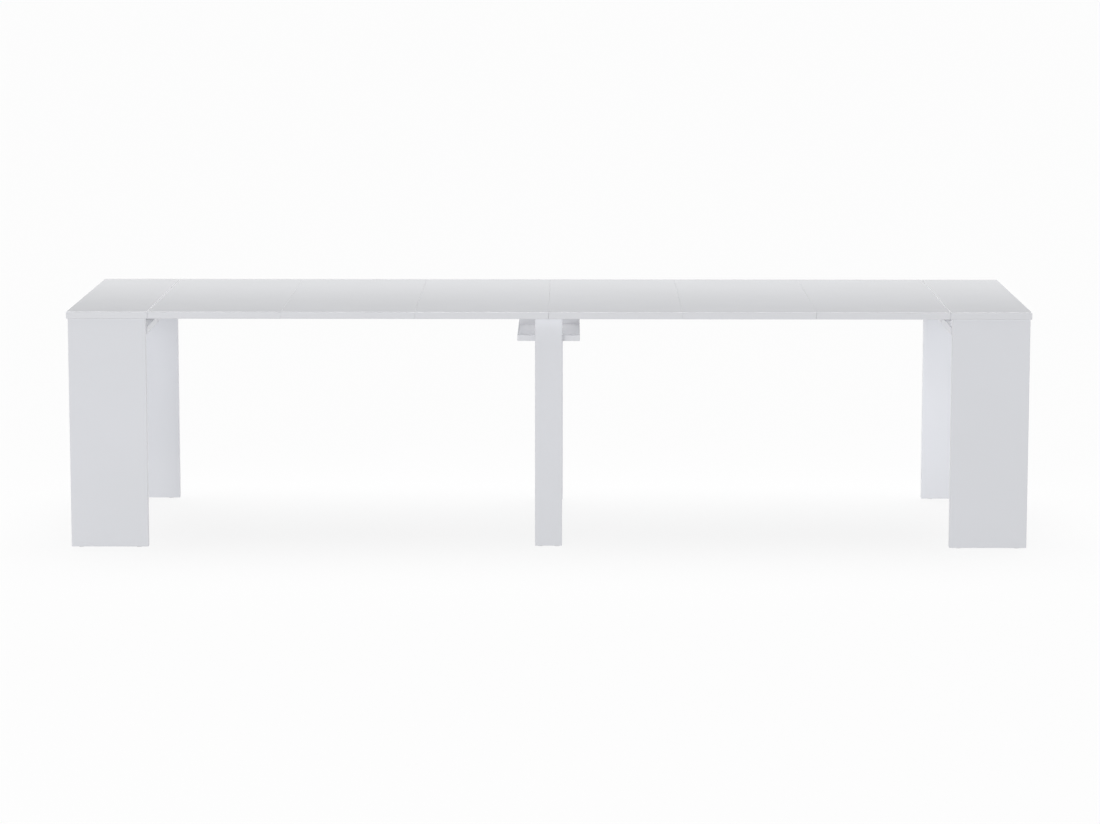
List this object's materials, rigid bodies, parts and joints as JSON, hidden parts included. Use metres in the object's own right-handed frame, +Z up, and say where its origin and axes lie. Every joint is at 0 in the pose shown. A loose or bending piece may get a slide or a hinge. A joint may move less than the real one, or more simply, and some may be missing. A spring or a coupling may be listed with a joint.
{
  "type": "extending console table",
  "caption": "Extending console table in white board, drawn out on telescoping rails, with loose leaves between two end units and a slim centre support.",
  "frame": {"origin": "on the floor below the middle of the table", "axes": "+X along the table's length, +Y from the front to the back, +Z up"},
  "size_m": [3.01, 0.9, 0.746],
  "materials": {
    "white_board": "white gloss faced board",
    "rail_aluminium": "anodised satin",
    "bracket_zinc": "zinc plated",
    "screw_steel": "zinc plated",
    "dowel_beech": "bare beech",
    "glide_plastic": "moulded plastic",
    "locator_plastic": "moulded plastic"
  },
  "bodies": {
    "centre_support": {"centre_back_leg": "white_board", "centre_back_rail": "rail_aluminium", "centre_back_saddle": "white_board", "centre_bracket_screws": "screw_steel", "centre_brackets": "bracket_zinc", "centre_front_leg": "white_board", "centre_front_rail": "rail_aluminium", "centre_front_saddle": "white_board", "centre_glides": "glide_plastic", "centre_saddle_screws": "screw_steel", "centre_tray": "white_board"},
    "left_end": {"left_apron": "white_board", "left_back_end_rail": "rail_aluminium", "left_back_leg": "white_board", "left_bracket_screws": "screw_steel", "left_brackets": "bracket_zinc", "left_dowels": "dowel_beech", "left_front_end_rail": "rail_aluminium", "left_front_leg": "white_board", "left_glides": "glide_plastic", "left_rail_board": "white_board", "left_rail_screws": "screw_steel", "left_top": "white_board"},
    "left_stage_1": {"left_front_rail_1": "rail_aluminium", "left_back_rail_1": "rail_aluminium"},
    "left_stage_2": {"left_front_rail_2": "rail_aluminium", "left_back_rail_2": "rail_aluminium"},
    "left_stage_3": {"left_front_rail_3": "rail_aluminium", "left_back_rail_3": "rail_aluminium"},
    "leaf_1_board": {"leaf_1": "white_board", "leaf_1_locators": "locator_plastic"},
    "leaf_2_board": {"leaf_2": "white_board", "leaf_2_locators": "locator_plastic"},
    "leaf_3_board": {"leaf_3": "white_board", "leaf_3_locators": "locator_plastic"},
    "right_end": {"right_apron": "white_board", "right_back_end_rail": "rail_aluminium", "right_back_leg": "white_board", "right_bracket_screws": "screw_steel", "right_brackets": "bracket_zinc", "right_dowels": "dowel_beech", "right_front_end_rail": "rail_aluminium", "right_front_leg": "white_board", "right_glides": "glide_plastic", "right_rail_board": "white_board", "right_rail_screws": "screw_steel", "right_top": "white_board"},
    "right_stage_1": {"right_front_rail_1": "rail_aluminium", "right_back_rail_1": "rail_aluminium"},
    "right_stage_2": {"right_front_rail_2": "rail_aluminium", "right_back_rail_2": "rail_aluminium"},
    "right_stage_3": {"right_front_rail_3": "rail_aluminium", "right_back_rail_3": "rail_aluminium"},
    "leaf_6_board": {"leaf_6": "white_board", "leaf_6_locators": "locator_plastic"},
    "leaf_5_board": {"leaf_5": "white_board", "leaf_5_locators": "locator_plastic"},
    "leaf_4_board": {"leaf_4": "white_board", "leaf_4_locators": "locator_plastic"}
  },
  "joints": [
    {"name": "left_end_slide", "type": "slide", "parent": "centre_support", "child": "left_end", "axis": [1, 0, 0], "range_m": [0, 1.251]},
    {"name": "left_stage_1_slide", "type": "slide", "parent": "centre_support", "child": "left_stage_1", "axis": [1, 0, 0], "range_m": [0, 0.31275]},
    {"name": "left_stage_2_slide", "type": "slide", "parent": "centre_support", "child": "left_stage_2", "axis": [1, 0, 0], "range_m": [0, 0.6255]},
    {"name": "left_stage_3_slide", "type": "slide", "parent": "centre_support", "child": "left_stage_3", "axis": [1, 0, 0], "range_m": [0, 0.93825]},
    {"name": "leaf_1_lift", "type": "slide", "parent": "centre_support", "child": "leaf_1_board", "axis": [0, 0, 1], "range_m": [0, 0.7506]},
    {"name": "leaf_2_lift", "type": "slide", "parent": "centre_support", "child": "leaf_2_board", "axis": [0, 0, 1], "range_m": [0, 0.43785]},
    {"name": "leaf_3_lift", "type": "slide", "parent": "centre_support", "child": "leaf_3_board", "axis": [0, 0, 1], "range_m": [0, 0.2502]},
    {"name": "right_end_slide", "type": "slide", "parent": "centre_support", "child": "right_end", "axis": [-1, 0, 0], "range_m": [0, 1.251]},
    {"name": "right_stage_1_slide", "type": "slide", "parent": "centre_support", "child": "right_stage_1", "axis": [-1, 0, 0], "range_m": [0, 0.31275]},
    {"name": "right_stage_2_slide", "type": "slide", "parent": "centre_support", "child": "right_stage_2", "axis": [-1, 0, 0], "range_m": [0, 0.6255]},
    {"name": "right_stage_3_slide", "type": "slide", "parent": "centre_support", "child": "right_stage_3", "axis": [-1, 0, 0], "range_m": [0, 0.93825]},
    {"name": "leaf_6_lift", "type": "slide", "parent": "centre_support", "child": "leaf_6_board", "axis": [0, 0, 1], "range_m": [0, 0.7506]},
    {"name": "leaf_5_lift", "type": "slide", "parent": "centre_support", "child": "leaf_5_board", "axis": [0, 0, 1], "range_m": [0, 0.43785]},
    {"name": "leaf_4_lift", "type": "slide", "parent": "centre_support", "child": "leaf_4_board", "axis": [0, 0, 1], "range_m": [0, 0.2502]}
  ],
  "couplings": [
    {"joint": "left_stage_1_slide", "follows": "left_end_slide", "ratio": 0.25},
    {"joint": "left_stage_2_slide", "follows": "left_end_slide", "ratio": 0.5},
    {"joint": "left_stage_3_slide", "follows": "left_end_slide", "ratio": 0.75},
    {"joint": "leaf_1_lift", "follows": "left_end_slide", "ratio": 0.6},
    {"joint": "leaf_2_lift", "follows": "left_end_slide", "ratio": 0.35},
    {"joint": "leaf_3_lift", "follows": "left_end_slide", "ratio": 0.2},
    {"joint": "right_stage_1_slide", "follows": "right_end_slide", "ratio": 0.25},
    {"joint": "right_stage_2_slide", "follows": "right_end_slide", "ratio": 0.5},
    {"joint": "right_stage_3_slide", "follows": "right_end_slide", "ratio": 0.75},
    {"joint": "leaf_6_lift", "follows": "right_end_slide", "ratio": 0.6},
    {"joint": "leaf_5_lift", "follows": "right_end_slide", "ratio": 0.35},
    {"joint": "leaf_4_lift", "follows": "right_end_slide", "ratio": 0.2}
  ]
}
